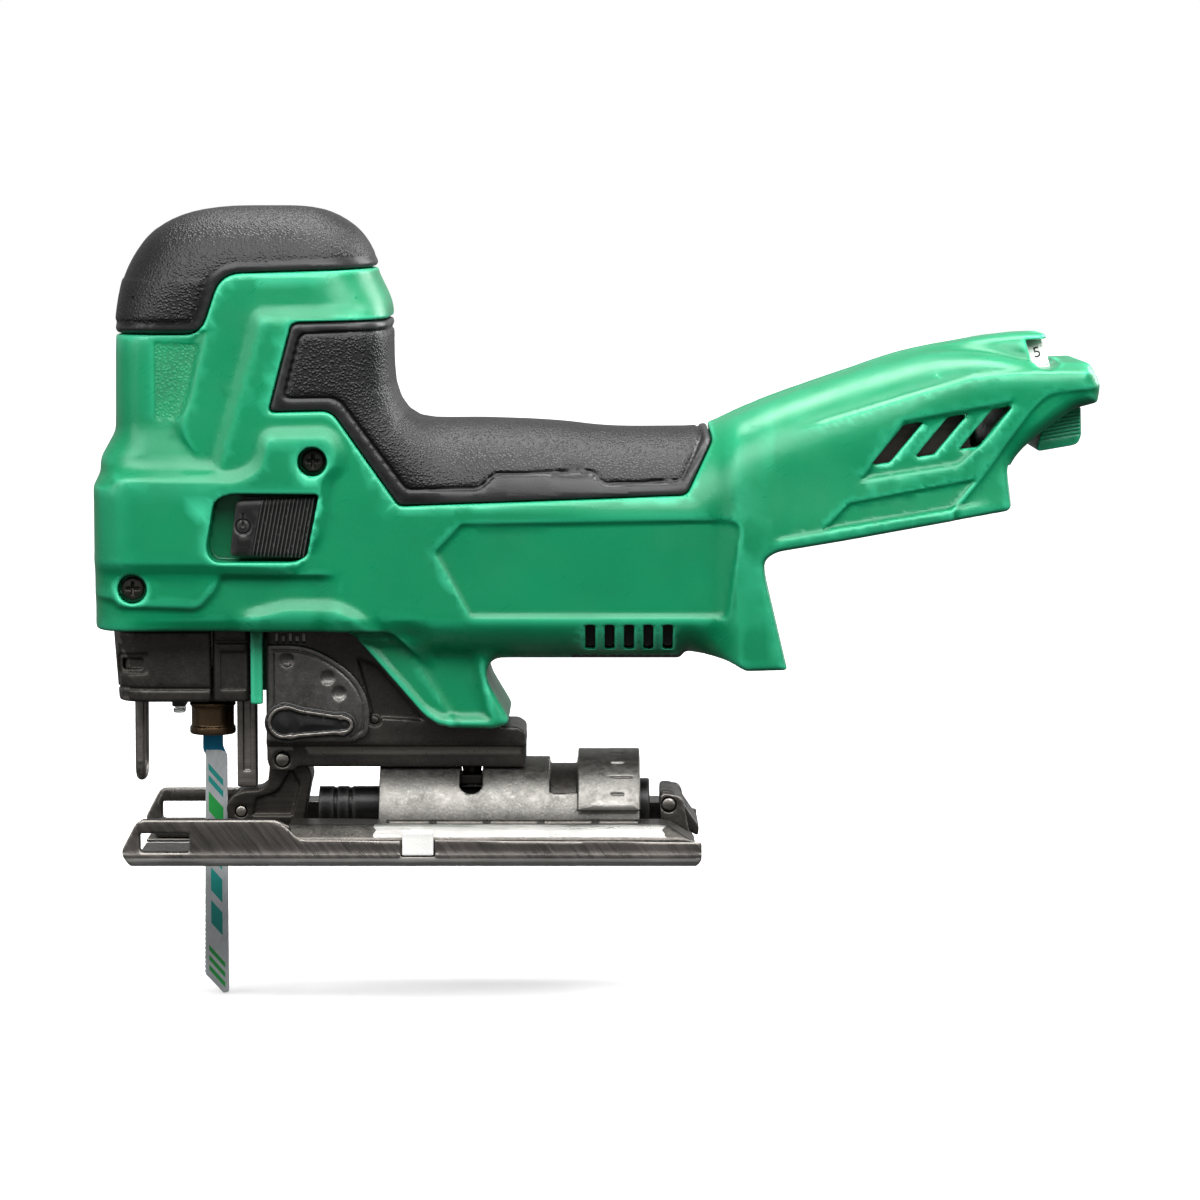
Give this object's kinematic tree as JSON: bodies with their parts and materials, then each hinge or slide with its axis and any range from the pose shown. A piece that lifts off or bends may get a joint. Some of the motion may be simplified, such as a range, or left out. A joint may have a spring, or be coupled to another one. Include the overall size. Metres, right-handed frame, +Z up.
{
  "type": "cordless barrel-grip jigsaw",
  "caption": "Cordless jigsaw with a barrel grip, a reciprocating blade, an orbit selector, a tilting sole and an open battery bay.",
  "frame": {"origin": "centre of the sole's flat underside, on the tool's middle plane", "axes": "+X from the blade towards the battery end, +Y to the tool's right, +Z up from the sole"},
  "size_m": [0.2966, 0.077, 0.2375],
  "materials": {
    "housing_green": "satin moulded polyamide, green",
    "soft_black": "moulded elastomer with a fine stipple",
    "black_plastic": "satin black",
    "dark_casting": "dark coated casting, worn on the edges",
    "casting": "sand-textured die casting",
    "steel": "brushed",
    "dark_steel": "blackened",
    "bright_steel": "bright",
    "bronze": "dull bronze",
    "copper": "bare",
    "dial_white": "satin white",
    "lens": "clear"
  },
  "bodies": {
    "housing": {"housing_left": "housing_green", "housing_right": "housing_green", "head_pad_left": "soft_black", "head_pad_right": "soft_black", "grip_pad_left": "soft_black", "grip_pad_right": "soft_black", "housing_screw_left_1": "dark_steel", "housing_screw_left_2": "dark_steel", "housing_screw_right_1": "dark_steel", "housing_screw_right_2": "dark_steel", "housing_screw_right_3": "dark_steel", "motor_stator": "dark_steel", "motor_bearing_front": "steel", "motor_bearing_rear": "steel", "gear_case": "casting", "plunger_bush_lower": "bronze", "plunger_bush_upper": "bronze", "gear_cover": "black_plastic", "work_lamp": "black_plastic", "work_lamp_lens": "lens", "lever_hinge_pin": "steel", "switch_module": "black_plastic", "base_bracket": "dark_casting", "orbit_detent_plate": "casting", "roller_arm_pin": "steel", "base_clamp_bolt": "dark_steel", "controller_module": "dark_steel", "terminal_holder": "black_plastic", "battery_terminal_1": "copper", "battery_terminal_2": "copper", "battery_terminal_3": "copper", "latch_block": "housing_green"},
    "rotor": {"rotor_shaft": "steel", "rotor_core": "dark_steel", "cooling_fan": "black_plastic"},
    "crank": {"crank_gear": "steel"},
    "plunger": {"plunger_rod": "steel", "plunger_yoke": "steel", "blade_clamp_body": "dark_steel", "blade_clamp_collar": "bronze", "saw_blade": "steel"},
    "front_lever": {"front_lever": "black_plastic", "guard_wire": "steel"},
    "switch": {"switch_knob_left": "black_plastic", "switch_knob_right": "black_plastic", "switch_link": "black_plastic"},
    "orbit_selector": {"orbit_selector_lever": "black_plastic"},
    "roller_arm": {"roller_arm": "dark_steel", "guide_roller_pin": "steel"},
    "guide_roller": {"guide_roller": "steel"},
    "orbit_pusher": {"orbit_pusher": "steel"},
    "base": {"sole_shoe": "steel", "base_casting": "casting", "base_half_tube": "casting", "dust_duct": "black_plastic", "shoe_clip_left": "bright_steel", "shoe_clip_right": "bright_steel", "lock_lever_pin": "steel"},
    "base_lock_lever": {"base_lock_lever": "black_plastic"},
    "speed_dial": {"speed_dial": "dial_white"}
  },
  "joints": [
    {"name": "plunger_stroke", "type": "slide", "parent": "housing", "child": "plunger", "axis": [0, 0, 1], "range_m": [-0.017, 0.009]},
    {"name": "crank_spin", "type": "hinge", "parent": "housing", "child": "crank", "pos_m": [-0.0415, 0, 0.119], "axis": [1, 0, 0], "continuous": true},
    {"name": "rotor_spin", "type": "hinge", "parent": "housing", "child": "rotor", "pos_m": [0.02, 0, 0.092], "axis": [1, 0, 0], "continuous": true},
    {"name": "front_lever_swing", "type": "hinge", "parent": "housing", "child": "front_lever", "pos_m": [-0.062, 0.0154, 0.057], "axis": [0, 0, 1], "range_deg": [-70, 0], "stiffness_Nm_per_rad": 0.05},
    {"name": "switch_slide", "type": "slide", "parent": "housing", "child": "switch", "axis": [-1, 0, 0], "range_m": [0, 0.0055]},
    {"name": "orbit_selector_turn", "type": "hinge", "parent": "housing", "child": "orbit_selector", "pos_m": [-0.0384, 0, 0.0403], "axis": [0, -1, 0], "range_deg": [0, 88]},
    {"name": "roller_arm_swing", "type": "hinge", "parent": "housing", "child": "roller_arm", "pos_m": [-0.0394, 0, 0.0284], "axis": [0, 1, 0], "range_deg": [-4, 0]},
    {"name": "guide_roller_spin", "type": "hinge", "parent": "roller_arm", "child": "guide_roller", "pos_m": [-0.0521, 0, 0.0124], "axis": [0, 1, 0], "continuous": true},
    {"name": "orbit_pusher_slide", "type": "slide", "parent": "housing", "child": "orbit_pusher", "axis": [0, 0, 1], "range_m": [-0.0008, 0]},
    {"name": "base_tilt", "type": "hinge", "parent": "housing", "child": "base", "pos_m": [0, 0, 0.008], "axis": [1, 0, 0], "range_deg": [-45, 45]},
    {"name": "base_lock_turn", "type": "hinge", "parent": "base", "child": "base_lock_lever", "pos_m": [0.076, 0, 0.0155], "axis": [0, -1, 0], "range_deg": [0, 60]},
    {"name": "speed_dial_turn", "type": "hinge", "parent": "housing", "child": "speed_dial", "pos_m": [0.1856, 0, 0.1453], "axis": [0.9659, 0, 0.2588], "range_deg": [-180, 90]}
  ],
  "couplings": [
    {"joint": "rotor_spin", "follows": "crank_spin", "ratio": -5},
    {"joint": "orbit_pusher_slide", "follows": "roller_arm_swing", "m_per_rad": 0.0112}
  ]
}
